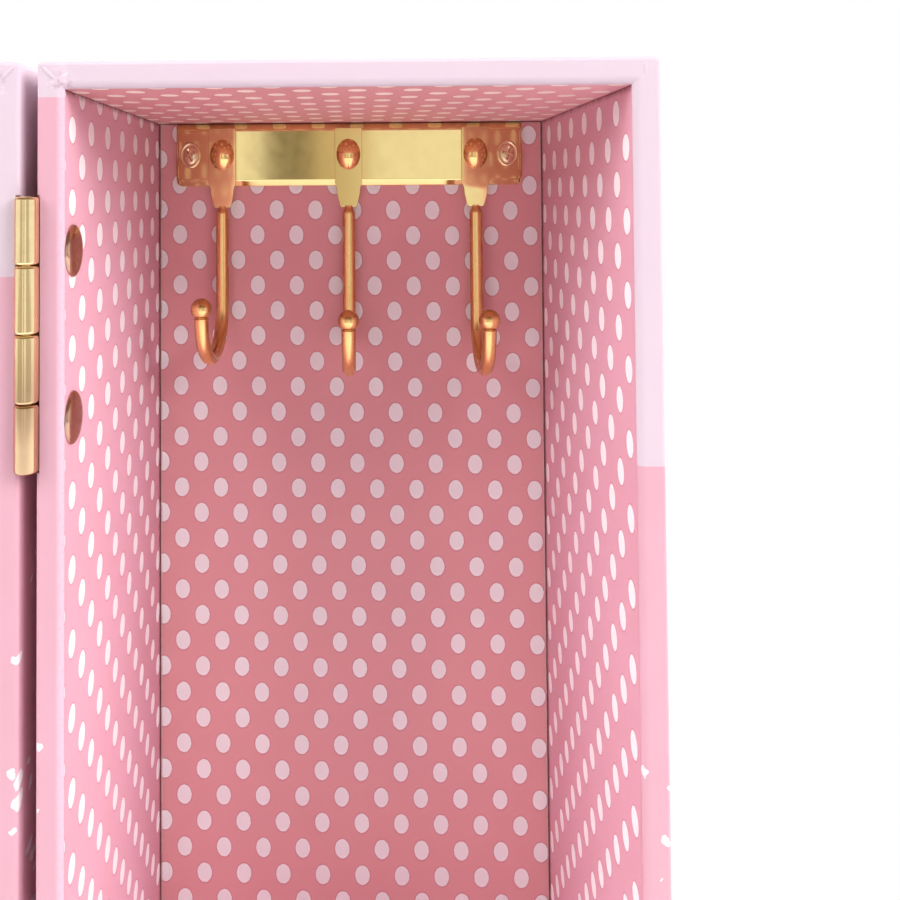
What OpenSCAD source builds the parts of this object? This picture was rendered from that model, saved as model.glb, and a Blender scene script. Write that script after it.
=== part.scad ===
// Book-opening dolls' wardrobe: two paper-covered board boxes, hinged along one front corner
// and shown opened flat. The right box carries a brass rail with three coat hooks.
// X runs across the open pair from the hinge axis, Y runs from the open fronts to the backs.

/* [Case] */
// Outside width of each half
case_w = 149; // [130:1:190]
// Outside depth of each half
case_d = 98.6; // [80:0.2:130]
// Outside height of each half
case_h = 321; // [260:1:400]
// Thickness of the boards
board_t = 5.6; // [4:0.1:8]
// Thickness of the wrapping and lining papers
paper_t = 0.5; // [0.3:0.1:0.8]
// Radius on the outer edges of the wrapping
edge_r = 1; // [0.6:0.1:1.5]
// Distance of the linings behind the rim
lining_set = 1.2; // [0.8:0.1:2]
// Seam left between the back lining and its neighbours
seam_gap = 0.4; // [0.2:0.1:0.8]

/* [Hinges] */
// Distance between the two halves when open
case_gap = 4.2; // [3.6:0.2:6]
// Distance of the hinge axis in front of the rims
axis_fwd = 0.25; // [0.2:0.05:1]
// Radius of the hinge barrel
barrel_r = 2.9; // [2.6:0.1:4]
// Length of the hinge barrel
barrel_len = 65.6; // [50:0.4:80]
// Number of knuckles in each barrel
knuckle_n = 4; // [2:2:6]
// Radius of the hinge pin
pin_r = 1.2; // [1:0.1:1.6]
// Thickness of the hinge leaves
leaf_t = 1; // [0.6:0.1:1.2]
// Depth of the hinge leaves from the rim
leaf_w = 15; // [12:1:22]
// Distance from each end of the case to the nearest barrel
hinge_inset = 32.4; // [20:0.4:45]
// Distance between the two rivets of a leaf
leaf_rivet_pitch = 40.8; // [34:0.4:44]
// Distance of the middle of a leaf's rivets below the middle of its barrel
leaf_rivet_drop = 1; // [0:0.2:3]
// Distance of the hinge rivets behind the rim
leaf_rivet_set = 5.8; // [5.8:0.1:9]
// Half the width of the oval domed caps inside the case
cap_r = 5.1; // [4:0.1:5.5]
// Height of the domed caps
cap_h = 2.2; // [1.2:0.1:3]

/* [Hook rail] */
// Length of the rail
rail_len = 122.4; // [110:0.2:126]
// Height of the rail
rail_h = 22; // [18:0.5:28]
// Standing depth of the rail
rail_d = 2.2; // [1.8:0.1:3]
// Sheet thickness of the rail
rail_t = 1; // [0.6:0.1:1.2]
// Depth of the straight edge along each long side
rail_lip = 1; // [0.6:0.1:1.2]
// Height of the bevel along each long edge
rail_bevel = 1.6; // [1:0.1:3]
// Distance from the ceiling to the rail
rail_drop = 0.4; // [0.3:0.1:10]
// Distance of the rail's middle from the middle of its half
rail_shift = -0.5; // [-3:0.1:3]
// Distance between the two end screws
screw_pitch = 111.8; // [104:0.2:113]
// Half the width of the oval screw heads
screw_head_r = 3.6; // [3:0.1:4]
// Radius of the screw threads
screw_r = 1.5; // [1.2:0.1:2]
// Depth to which the screws enter the back board
screw_bite = 3.8; // [2:0.2:3.8]

/* [Hooks] */
// Distance between neighbouring hooks
hook_pitch = 44.6; // [36:0.2:45]
// Width of the flat hook heads
hook_head_w = 9.6; // [9:0.2:12]
// Thickness of the flat hook heads
hook_head_t = 0.7; // [0.5:0.1:1.4]
// Length of the tapered tongue below the rail
tongue_len = 7.6; // [5:0.1:12]
// Radius of the hook rods
rod_r = 2.2; // [1.6:0.1:2.4]
// Bend radius of the hooks, at the rod's middle
bend_r = 15.5; // [11:0.5:18]
// Straight length of rod between tongue and bend
stem_len = 37.6; // [20:0.2:60]
// Height of the left hook's bend above the others
left_rise = 3.8; // [0:0.2:8]
// Angle to which the left hook's bend is turned outwards
left_turn = 2.5; // [0:0.5:20]
// Angle to which the right hook's bend is turned inwards
right_turn = 1.5; // [0:0.5:20]
// Radius of the ball tips
ball_r = 3.3; // [2.6:0.1:4]
// Half the width of the oval rivet domes on the rail
stud_r = 4.2; // [3:0.1:4.8]
// Height of the rivet domes, caps and screw heads over their width
head_oval = 1.3; // [1.05:0.05:1.4]

/* [Clasp] */
// Distance of the clasp's pivot behind the rim
pivot_set = 9; // [8:0.5:14]
// Distance of the catch stud behind the rim
catch_set = 12; // [10:0.5:16]
// Half the width of the hasp
hasp_half = 6; // [5:0.5:8]
// Thickness of the clasp's plates
clasp_t = 1; // [0.8:0.1:1.2]
// Radius of the clasp's knuckles
clasp_r = 1.3; // [1.2:0.1:1.8]
// Radius of the clasp's pin
clasp_pin_r = 0.6; // [0.5:0.1:0.7]
// Radius of the catch stud
catch_r = 1.9; // [1.4:0.1:2.4]

/* [Fit] */
// Radial clearance of a pin in its bore
run_gap = 0.05; // [0.02:0.01:0.1]
// Clearance of a rivet or screw in its hole
fix_gap = 0.1; // [0.05:0.05:0.2]
// Clearance between parts that pass each other
pass_gap = 0.3; // [0.3:0.1:0.6]

/* [Hidden] */
$fn = 64;

wall = board_t + 2 * paper_t;
front_reach = axis_fwd + barrel_r;
rim_y = front_reach - (case_d + front_reach) / 2;
axis_y = rim_y - axis_fwd;
back_y = case_d - wall;              // face of the back lining, behind the rim
ceiling_z = case_h - wall;           // face of the top lining
inner_mid = case_w / 2;              // middle of a half, from its hinge face
hinge_zs = [hinge_inset + barrel_len / 2, case_h - hinge_inset - barrel_len / 2];
hinge_rivet_zs = [for (z = hinge_zs, s = [-1, 1]) z - leaf_rivet_drop + s * leaf_rivet_pitch / 2];
hinge_rivet_r = 1.6;
hinge_rivet_head = [2.6, 0.6];       // radius and height of the flat outer head
knuckle_len = barrel_len / knuckle_n;
knuckle_gap = 0.2;

rail_z = ceiling_z - rail_drop - rail_h / 2;
rail_front = back_y - rail_d;        // front face of the rail, behind the rim
hook_front = rail_front - hook_head_t;
rail_mid = inner_mid + rail_shift;
hook_xs = [for (i = [-1, 0, 1]) rail_mid + i * hook_pitch];
stud_h = 2.4;
stud_shank_r = 1.5;
stud_tail = [2.6, 0.6];              // radius and height of the tail inside the rail
screw_xs = [rail_mid - screw_pitch / 2, rail_mid + screw_pitch / 2];
screw_head_h = 1;
cross_w = 0.9;
cross_d = 0.7;

rod_proud = 1.9;                     // reach of a rod in front of its flat head
rod_y = hook_front + rod_r - rod_proud;
tongue_top_w = 8.4;
tongue_end_w = 6.2;
tongue_t = 1.9;
tongue_z = rail_z - rail_h / 2 - tongue_len;
bend_z = tongue_z - stem_len;
ball_rise = 2.7;                     // height of a ball's middle above its bend
collar = [2.6, 0.9];                 // radius and height of the ring under the ball

clasp_z = case_h / 2;
clasp_axis = clasp_t + pass_gap + clasp_r;           // height of the clasp's axis over the wall
ear_len = 5;
clasp_half = hasp_half + pass_gap + ear_len;
hasp_reach = pivot_set + 2 * axis_fwd + catch_set;    // pivot to the hole for the catch stud
nail_r = 1.1;
nail_head = [1.8, 0.8];              // radius and height of a nail's head
nail_bite = 4;
nail_z = hasp_half + pass_gap + ear_len / 2;
base_nail_y = pivot_set + clasp_r + 3;               // nails of the hasp's plate, behind the rim

board_c = "#b9a58c";
wrap_c = "#f1cfe0";
lining_c = "#d9788a";
brass_c = "#d8b25c";

// ---- placing ----
module on_right() { translate([case_gap / 2, rim_y, 0]) children(); }
module on_left() { mirror([1, 0, 0]) on_right() children(); }
module along_x(p) { translate(p) rotate([0, 90, 0]) children(); }
module along_y(p) { translate(p) rotate([-90, 0, 0]) children(); }
module block(low, high) { translate(low) cube(high - low); }

// ---- round-edged outline used by the wrapping ----
module rounded_square(w, h, r) {
    translate([r, 0]) square([w - 2 * r, h]);
    translate([0, r]) square([w, h - 2 * r]);
    for (x = [r, w - r], y = [r, h - r]) translate([x, y]) circle(r);
}
module wrapped_block() {
    intersection() {
        linear_extrude(case_h) rounded_square(case_w, case_d, edge_r);
        along_y([0, 0, case_h]) linear_extrude(case_d)
            rounded_square(case_w, case_h + 2 * edge_r, edge_r);
        translate([case_w, 0, 0]) rotate([90, 0, -90]) mirror([1, 0, 0])
            linear_extrude(case_w) translate([0, -2 * edge_r])
            rounded_square(case_d, case_h + 2 * edge_r, edge_r);
    }
}

// ---- holes and reliefs shared by the pieces of a wall ----
module hinge_rivet_holes() {
    for (z = hinge_rivet_zs)
        along_x([-case_gap, leaf_rivet_set, z])
            cylinder(r = hinge_rivet_r + fix_gap, h = 2 * wall + case_gap);
}
module hinge_relief() {
    for (z = hinge_zs)
        translate([-case_gap / 2, -axis_fwd, z - barrel_len / 2 - pass_gap])
            cylinder(r = barrel_r + pass_gap, h = barrel_len + 2 * pass_gap);
}
module nail_holes(y) {
    for (s = [-1, 1])
        along_x([case_w - nail_bite - fix_gap, y, clasp_z + s * nail_z])
            cylinder(r = nail_r + fix_gap, h = nail_bite + case_gap);
}
module screw_holes() {
    for (x = screw_xs)
        along_y([x, back_y - case_gap, rail_z])
            cylinder(r = screw_r + fix_gap, h = case_gap + paper_t + screw_bite + fix_gap);
}

// ---- boards ----
module back_board() {
    block([paper_t, case_d - paper_t - board_t, paper_t],
          [case_w - paper_t, case_d - paper_t, case_h - paper_t]);
}
module hinge_board() {
    difference() {
        block([paper_t, paper_t, paper_t], [paper_t + board_t, case_d - paper_t - board_t, case_h - paper_t]);
        hinge_rivet_holes();
        hinge_relief();
    }
}
module clasp_board(nail_y) {
    difference() {
        block([case_w - paper_t - board_t, paper_t, paper_t],
              [case_w - paper_t, case_d - paper_t - board_t, case_h - paper_t]);
        nail_holes(nail_y);
    }
}
module end_board(z) {
    block([paper_t + board_t, paper_t, z],
          [case_w - paper_t - board_t, case_d - paper_t - board_t, z + board_t]);
}

// ---- papers ----
module wrap(nail_y) {
    difference() {
        wrapped_block();
        difference() {
            block([paper_t, paper_t, -1], [case_w - paper_t, case_d - paper_t, case_h - paper_t]);
            block([wall - paper_t, 0, wall - paper_t],
                  [case_w - wall + paper_t, lining_set, case_h - wall + paper_t]);
        }
        block([wall, -1, wall], [case_w - wall, wall, case_h - wall]);
        hinge_rivet_holes();
        hinge_relief();
        nail_holes(nail_y);
    }
}
module base_paper() {
    block([paper_t, paper_t, 0], [case_w - paper_t, case_d - paper_t, paper_t]);
}
module back_lining() {
    block([wall + seam_gap, back_y, wall + seam_gap],
          [case_w - wall - seam_gap, back_y + paper_t, ceiling_z - seam_gap]);
}
module hinge_lining() {
    difference() {
        block([wall - paper_t, lining_set, wall - paper_t], [wall, back_y + paper_t, ceiling_z + paper_t]);
        hinge_rivet_holes();
    }
}
module clasp_lining() {
    block([case_w - wall, lining_set, wall - paper_t],
          [case_w - wall + paper_t, back_y + paper_t, ceiling_z + paper_t]);
}
module end_lining(z) {
    block([wall, lining_set, z], [case_w - wall, back_y + paper_t, z + paper_t]);
}

// ---- hook rail, hooks and their fasteners ----
module rail_section() {
    edge = rail_h / 2;
    face = edge - rail_bevel;
    difference() {
        polygon([[0, -edge], [0, edge], [-rail_lip, edge], [-rail_d, face], [-rail_d, -face],
                 [-rail_lip, -edge]]);
        polygon([[1, rail_t - edge], [1, edge - rail_t], [-rail_lip, edge - rail_t],
                 [rail_t - rail_d, face - rail_t / 2], [rail_t - rail_d, rail_t / 2 - face],
                 [-rail_lip, rail_t - edge]]);
    }
}
module rail() {
    difference() {
        translate([rail_mid - rail_len / 2, back_y, rail_z])
            rotate([90, 0, 90]) linear_extrude(rail_len) rail_section();
        for (x = hook_xs)
            along_y([x, rail_front - 1, rail_z]) cylinder(r = stud_shank_r + fix_gap, h = rail_d);
        for (x = screw_xs)
            along_y([x, rail_front - 1, rail_z]) cylinder(r = screw_r + fix_gap, h = rail_d);
    }
}
module hook_head() {
    top = rail_h / 2 - rail_bevel;
    low = -rail_h / 2;
    half = hook_head_w / 2;
    polygon([[-half, top], [half, top], [half, low + 0.6], [tongue_top_w / 2, low - 0.5],
             [tongue_top_w / 2, low - tongue_len * 0.35], [tongue_end_w / 2, low - tongue_len],
             [-tongue_end_w / 2, low - tongue_len], [-tongue_top_w / 2, low - tongue_len * 0.35],
             [-tongue_top_w / 2, low - 0.5], [-half, low + 0.6]]);
}
// Round rod of a hook, with its stem on the Z axis: stem, J bend, ring and ball
module hook_rod(rise) {
    low = bend_z + rise;
    translate([0, 0, low]) cylinder(r = rod_r, h = stem_len - rise);
    translate([0, 0, tongue_z]) cylinder(r1 = rod_r, r2 = rod_r - 0.8, h = 0.8);
    translate([0, -bend_r, low]) rotate([0, 90, 0]) rotate([0, 0, -90])
        rotate_extrude(angle = 180) translate([bend_r, 0]) circle(rod_r);
    translate([0, -2 * bend_r, low]) {
        cylinder(r = rod_r, h = ball_rise);
        translate([0, 0, ball_rise - ball_r + 0.4 - collar[1]]) cylinder(r = collar[0], h = collar[1]);
        translate([0, 0, ball_rise]) sphere(ball_r);
    }
}
module hook(x, rise = 0, turn = 0) {
    difference() {
        union() {
            translate([x, rail_front, rail_z]) rotate([90, 0, 0]) linear_extrude(hook_head_t) hook_head();
            translate([x, hook_front + tongue_t, rail_z]) rotate([90, 0, 0]) linear_extrude(tongue_t)
                intersection() {
                    hook_head();
                    translate([-hook_head_w, -rail_h / 2 - tongue_len])
                        square([2 * hook_head_w, tongue_len]);
                }
            translate([x, rod_y, 0]) rotate([0, 0, -turn]) hook_rod(rise);
        }
        along_y([x, hook_front - 1, rail_z])
            cylinder(r = stud_shank_r + fix_gap, h = 1 + hook_head_t + rail_d);
    }
}
// Half of the section of a shallow dome of radius r and height h
module dome_section(r, h) {
    ball = (r * r + h * h) / (2 * h);
    intersection() {
        translate([0, h - ball]) circle(ball);
        square([r, h]);
    }
}
module dome(r, h) { rotate_extrude() dome_section(r, h); }
// Dome rising along +Z from a base with straight sides along Y and round ends of radius r
module oval_dome(r, h) {
    side = r * (head_oval - 1);
    for (m = [0, 1]) mirror([0, m, 0]) translate([0, side, 0])
        rotate_extrude(angle = 180) dome_section(r, h);
    rotate([90, 0, 0]) translate([0, 0, -side]) linear_extrude(2 * side)
        for (m = [0, 1]) mirror([m, 0]) dome_section(r, h);
}
module hook_rivet(x) {
    translate([x, hook_front, rail_z]) rotate([90, 0, 0]) oval_dome(stud_r, stud_h);
    along_y([x, hook_front - 0.1, rail_z]) cylinder(r = stud_shank_r, h = 0.1 + hook_head_t + rail_t + 0.1);
    along_y([x, rail_front + rail_t, rail_z]) cylinder(r = stud_tail[0], h = stud_tail[1]);
}
module rail_screw(x) {
    difference() {
        union() {
            translate([x, rail_front, rail_z]) rotate([90, 0, 0]) oval_dome(screw_head_r, screw_head_h);
            along_y([x, rail_front - 0.1, rail_z])
                cylinder(r = screw_r, h = 0.1 + rail_d + paper_t + screw_bite);
        }
        for (a = [45, 135])
            translate([x, rail_front - screw_head_h - 1, rail_z]) rotate([0, a, 0])
                block([-screw_head_r * 0.6, 0, -cross_w / 2], [screw_head_r * 0.6, 1 + cross_d, cross_w / 2]);
    }
}

// ---- hinges ----
// own is 0 for a leaf that holds the lowest knuckle and every other one above it, and 1 for the rest
module leaf(z, own) {
    low = z - barrel_len / 2;
    difference() {
        union() {
            block([-leaf_t, -axis_fwd, low], [0, leaf_w, low + barrel_len]);
            for (k = [own : 2 : knuckle_n - 1])
                translate([-case_gap / 2, -axis_fwd, low + k * knuckle_len + knuckle_gap / 2])
                    cylinder(r = barrel_r, h = knuckle_len - knuckle_gap);
        }
        for (k = [1 - own : 2 : knuckle_n - 1])
            translate([-case_gap / 2, -axis_fwd, low + k * knuckle_len - knuckle_gap / 2])
                cylinder(r = barrel_r + pass_gap, h = knuckle_len + knuckle_gap);
        translate([-case_gap / 2, -axis_fwd, low - 1]) cylinder(r = pin_r + run_gap, h = barrel_len + 2);
        hinge_rivet_holes();
    }
}
module hinge_pin(z) {
    translate([0, axis_y, z - barrel_len / 2]) cylinder(r = pin_r, h = barrel_len);
}
module hinge_rivet(z) {
    along_x([-leaf_t - hinge_rivet_head[1], leaf_rivet_set, z])
        cylinder(r = hinge_rivet_head[0], h = hinge_rivet_head[1]);
    along_x([-leaf_t - 0.1, leaf_rivet_set, z]) cylinder(r = hinge_rivet_r, h = leaf_t + wall + 0.2);
    translate([wall, leaf_rivet_set, z]) rotate([90, 0, 90]) oval_dome(cap_r, cap_h);
}

// ---- clasp ----
module nail(y, s) {
    along_x([case_w - nail_bite, y, clasp_z + s * nail_z])
        cylinder(r = nail_r, h = nail_bite + clasp_t + 0.1);
    along_x([case_w + clasp_t, y, clasp_z + s * nail_z]) dome(nail_head[0], nail_head[1]);
}
module plate_nail_holes(y) {
    for (s = [-1, 1])
        along_x([case_w - 1, y, clasp_z + s * nail_z]) cylinder(r = nail_r + fix_gap, h = clasp_t + 2);
}
module base_plate() {
    difference() {
        union() {
            block([case_w, pivot_set - clasp_r, clasp_z - clasp_half],
                  [case_w + clasp_t, base_nail_y + 3, clasp_z + clasp_half]);
            for (z = [clasp_z - clasp_half, clasp_z + hasp_half + pass_gap]) {
                translate([case_w + clasp_axis, pivot_set, z]) cylinder(r = clasp_r, h = ear_len);
                block([case_w, pivot_set - clasp_r, z],
                      [case_w + clasp_axis, pivot_set + clasp_r, z + ear_len]);
            }
        }
        translate([case_w + clasp_axis, pivot_set, clasp_z - clasp_half - 1])
            cylinder(r = clasp_pin_r + run_gap, h = 2 * clasp_half + 2);
        plate_nail_holes(base_nail_y);
    }
}
module hasp() {
    low = case_w + clasp_axis - clasp_t / 2;
    difference() {
        union() {
            translate([case_w + clasp_axis, pivot_set, clasp_z - hasp_half])
                cylinder(r = clasp_r, h = 2 * hasp_half);
            block([low, pivot_set, clasp_z - hasp_half],
                  [low + clasp_t, pivot_set + hasp_reach, clasp_z + hasp_half]);
            along_x([low, pivot_set + hasp_reach, clasp_z]) cylinder(r = hasp_half, h = clasp_t);
        }
        along_x([low - 1, pivot_set + hasp_reach, clasp_z]) cylinder(r = catch_r + pass_gap, h = clasp_t + 2);
        translate([case_w + clasp_axis, pivot_set, clasp_z - hasp_half - 1])
            cylinder(r = clasp_pin_r + run_gap, h = 2 * hasp_half + 2);
    }
}
module catch() {
    top = clasp_axis + clasp_r;
    difference() {
        block([case_w, catch_set - hasp_half, clasp_z - clasp_half],
              [case_w + clasp_t, catch_set + hasp_half, clasp_z + clasp_half]);
        plate_nail_holes(catch_set);
    }
    along_x([case_w + clasp_t, catch_set, clasp_z]) cylinder(r = catch_r, h = top - clasp_t - 1);
    along_x([case_w + top - 1, catch_set, clasp_z]) dome(catch_r, 1);
}

// ---- nodes: right half ----
module right_back_board() { color(board_c) on_right() difference() { back_board(); screw_holes(); } }
module right_hinge_board() { color(board_c) on_right() hinge_board(); }
module right_clasp_board() { color(board_c) on_right() clasp_board(catch_set); }
module right_top_board() { color(board_c) on_right() end_board(case_h - paper_t - board_t); }
module right_bottom_board() { color(board_c) on_right() end_board(paper_t); }
module right_wrap() { color(wrap_c) on_right() wrap(catch_set); }
module right_base_paper() { color(wrap_c) on_right() base_paper(); }
module right_back_lining() { color(lining_c) on_right() difference() { back_lining(); screw_holes(); } }
module right_hinge_lining() { color(lining_c) on_right() hinge_lining(); }
module right_clasp_lining() { color(lining_c) on_right() clasp_lining(); }
module right_top_lining() { color(lining_c) on_right() end_lining(ceiling_z); }
module right_bottom_lining() { color(lining_c) on_right() end_lining(wall - paper_t); }

// ---- nodes: left half ----
module left_back_board() { color(board_c) on_left() back_board(); }
module left_hinge_board() { color(board_c) on_left() hinge_board(); }
module left_clasp_board() { color(board_c) on_left() clasp_board(base_nail_y); }
module left_top_board() { color(board_c) on_left() end_board(case_h - paper_t - board_t); }
module left_bottom_board() { color(board_c) on_left() end_board(paper_t); }
module left_wrap() { color(wrap_c) on_left() wrap(base_nail_y); }
module left_base_paper() { color(wrap_c) on_left() base_paper(); }
module left_back_lining() { color(lining_c) on_left() back_lining(); }
module left_hinge_lining() { color(lining_c) on_left() hinge_lining(); }
module left_clasp_lining() { color(lining_c) on_left() clasp_lining(); }
module left_top_lining() { color(lining_c) on_left() end_lining(ceiling_z); }
module left_bottom_lining() { color(lining_c) on_left() end_lining(wall - paper_t); }

// ---- nodes: rail and hooks ----
module hook_rail() { color(brass_c) on_right() rail(); }
module left_hook() { color(brass_c) on_right() hook(hook_xs[0], left_rise, left_turn); }
module middle_hook() { color(brass_c) on_right() hook(hook_xs[1]); }
module right_hook() { color(brass_c) on_right() hook(hook_xs[2], 0, right_turn); }
module hook_rivets() { color(brass_c) on_right() for (x = hook_xs) hook_rivet(x); }
module rail_screws() { color(brass_c) on_right() for (x = screw_xs) rail_screw(x); }

// ---- nodes: hinges ----
module upper_hinge_right_leaf() { color(brass_c) on_right() leaf(hinge_zs[1], 0); }
module upper_hinge_left_leaf() { color(brass_c) on_left() leaf(hinge_zs[1], 1); }
module upper_hinge_pin() { color(brass_c) hinge_pin(hinge_zs[1]); }
module lower_hinge_right_leaf() { color(brass_c) on_right() leaf(hinge_zs[0], 0); }
module lower_hinge_left_leaf() { color(brass_c) on_left() leaf(hinge_zs[0], 1); }
module lower_hinge_pin() { color(brass_c) hinge_pin(hinge_zs[0]); }
module right_hinge_rivets() { color(brass_c) on_right() for (z = hinge_rivet_zs) hinge_rivet(z); }
module left_hinge_rivets() { color(brass_c) on_left() for (z = hinge_rivet_zs) hinge_rivet(z); }

// ---- nodes: clasp ----
module clasp_base() { color(brass_c) on_left() base_plate(); }
module clasp_hasp() { color(brass_c) on_left() hasp(); }
module clasp_pin() {
    color(brass_c) on_left() translate([case_w + clasp_axis, pivot_set, clasp_z - clasp_half])
        cylinder(r = clasp_pin_r, h = 2 * clasp_half);
}
module clasp_base_nails() { color(brass_c) on_left() for (s = [-1, 1]) nail(base_nail_y, s); }
module catch_plate() { color(brass_c) on_right() catch(); }
module catch_nails() { color(brass_c) on_right() for (s = [-1, 1]) nail(catch_set, s); }

right_back_board();
right_hinge_board();
right_clasp_board();
right_top_board();
right_bottom_board();
right_wrap();
right_base_paper();
right_back_lining();
right_hinge_lining();
right_clasp_lining();
right_top_lining();
right_bottom_lining();
left_back_board();
left_hinge_board();
left_clasp_board();
left_top_board();
left_bottom_board();
left_wrap();
left_base_paper();
left_back_lining();
left_hinge_lining();
left_clasp_lining();
left_top_lining();
left_bottom_lining();
hook_rail();
left_hook();
middle_hook();
right_hook();
hook_rivets();
rail_screws();
upper_hinge_right_leaf();
upper_hinge_left_leaf();
upper_hinge_pin();
lower_hinge_right_leaf();
lower_hinge_left_leaf();
lower_hinge_pin();
right_hinge_rivets();
left_hinge_rivets();
clasp_base();
clasp_hasp();
clasp_pin();
clasp_base_nails();
catch_plate();
catch_nails();
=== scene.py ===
"""Looks of the book-opening dolls' wardrobe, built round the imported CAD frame."""
import math

import bmesh
import bpy
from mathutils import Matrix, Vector


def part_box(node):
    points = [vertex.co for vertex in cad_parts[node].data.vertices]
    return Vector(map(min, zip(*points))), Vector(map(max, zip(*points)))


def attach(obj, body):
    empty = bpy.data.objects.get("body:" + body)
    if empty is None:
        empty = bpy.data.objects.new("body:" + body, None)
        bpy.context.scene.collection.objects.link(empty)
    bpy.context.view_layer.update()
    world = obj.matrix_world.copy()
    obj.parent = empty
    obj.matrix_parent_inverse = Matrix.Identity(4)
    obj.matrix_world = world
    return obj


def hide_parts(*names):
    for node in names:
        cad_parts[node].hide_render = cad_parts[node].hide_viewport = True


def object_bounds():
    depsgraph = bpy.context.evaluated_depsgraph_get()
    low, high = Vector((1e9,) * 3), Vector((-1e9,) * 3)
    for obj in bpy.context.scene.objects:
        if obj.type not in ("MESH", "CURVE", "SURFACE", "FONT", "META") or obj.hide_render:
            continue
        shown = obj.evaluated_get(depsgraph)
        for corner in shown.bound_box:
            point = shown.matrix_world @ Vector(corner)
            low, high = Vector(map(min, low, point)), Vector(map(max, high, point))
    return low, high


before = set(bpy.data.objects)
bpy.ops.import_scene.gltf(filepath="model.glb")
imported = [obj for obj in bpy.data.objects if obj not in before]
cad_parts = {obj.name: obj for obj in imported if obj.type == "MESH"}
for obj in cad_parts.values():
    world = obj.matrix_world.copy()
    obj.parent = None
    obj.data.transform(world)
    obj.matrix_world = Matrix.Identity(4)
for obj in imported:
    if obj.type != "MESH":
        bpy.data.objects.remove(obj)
CAD_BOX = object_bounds()

MM = 0.001
X, Y, Z = 0, 1, 2


# ---------------------------------------------------------------- sizes, in millimetres
def span(node):
    """Lowest and highest corner of a CAD node."""
    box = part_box(node)
    return Vector(box[0]) / MM, Vector(box[1]) / MM


# each half's body, and the side of the hinges on which it lies
HALVES = {"right": ("right_case", 1), "left": ("left_case", -1)}
LEVELS = ("upper", "lower")
WRAP = {half: span(f"{half}_wrap") for half in HALVES}
RIM_Y = WRAP["right"][0].y
TOP_Z = WRAP["right"][1].z
INNER_X, BACK_Y = span("right_back_lining")[0].xy  # hinge-side edge and face of the back lining
CEILING = span("right_top_lining")[0]
LINING_Y = CEILING.y                             # front edge of the linings
CEILING_Z = CEILING.z
WALL = TOP_Z - CEILING_Z
HINGE_PINS = {level: span(f"{level}_hinge_pin") for level in LEVELS}
RAIL = span("hook_rail")
RAIL_MID = (RAIL[0] + RAIL[1]) / 2
RAIL_FACE = RAIL[0].y
PAPER = 0.45                                     # thickness of the covering
TURN_IN = LINING_Y - RIM_Y - 0.05                # how far it is folded into the mouth


# ---------------------------------------------------------------- outlines
def quarter(steps):
    """Angles from 0 to 90 degrees, in radians."""
    return [math.pi / 2 * k / steps for k in range(steps + 1)]


def circle(radius, steps):
    """Points of a circle round the origin."""
    return [(radius * math.cos(2 * math.pi * i / steps), radius * math.sin(2 * math.pi * i / steps))
            for i in range(steps)]


def arc(centre, radius, start, end, steps):
    """Points on an arc in a plane, angles in degrees."""
    out = []
    for i in range(steps + 1):
        a = math.radians(start + (end - start) * i / steps)
        out.append((centre[0] + radius * math.cos(a), centre[1] + radius * math.sin(a)))
    return out


def rounded_box(x0, x1, z0, z1, radii, steps=5):
    """Anticlockwise outline of a rectangle. radii is one radius, or those of the corners low left,
    low right, high right and high left."""
    if not isinstance(radii, (list, tuple)):
        radii = [radii] * 4
    a, b, c, d = radii
    return (arc((x0 + a, z0 + a), a, 180, 270, steps) + arc((x1 - b, z0 + b), b, 270, 360, steps)
            + arc((x1 - c, z1 - c), c, 0, 90, steps)
            + arc((x0 + d, z1 - d), d, 90, 180, steps))


def rounded(corners, steps=4):
    """Outline through (x, y, radius) corners, each corner turned by an arc of its radius."""
    out = []
    n = len(corners)
    for i in range(n):
        px, py, r = corners[i]
        here = Vector((px, py))
        back = (Vector(corners[i - 1][:2]) - here).normalized()
        ahead = (Vector(corners[(i + 1) % n][:2]) - here).normalized()
        half = back.angle(ahead) / 2
        if r <= 0 or half > math.radians(89):
            out.append((px, py))
            continue
        cut = r / math.tan(half)
        centre = here + (back + ahead).normalized() * (r / math.sin(half))
        p0, p1 = here + back * cut - centre, here + ahead * cut - centre
        a0 = math.atan2(p0.y, p0.x)
        turn = math.atan2(p0.x * p1.y - p0.y * p1.x, p0.dot(p1))
        for k in range(steps + 1):
            a = a0 + turn * k / steps
            out.append((centre.x + r * math.cos(a), centre.y + r * math.sin(a)))
    return out


def inset(outline, amount):
    """An anticlockwise outline moved inwards."""
    out = []
    n = len(outline)
    for i in range(n):
        p = Vector(outline[i])
        a = (p - Vector(outline[i - 1])).normalized()
        b = (Vector(outline[(i + 1) % n]) - p).normalized()
        na, nb = Vector((-a.y, a.x)), Vector((-b.y, b.x))
        mid = na + nb
        if mid.length < 1e-6:
            mid = na.copy()
        mid.normalize()
        reach = amount / max(0.4, mid.dot(na))
        out.append((p.x + mid.x * reach, p.y + mid.y * reach))
    return out


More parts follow.
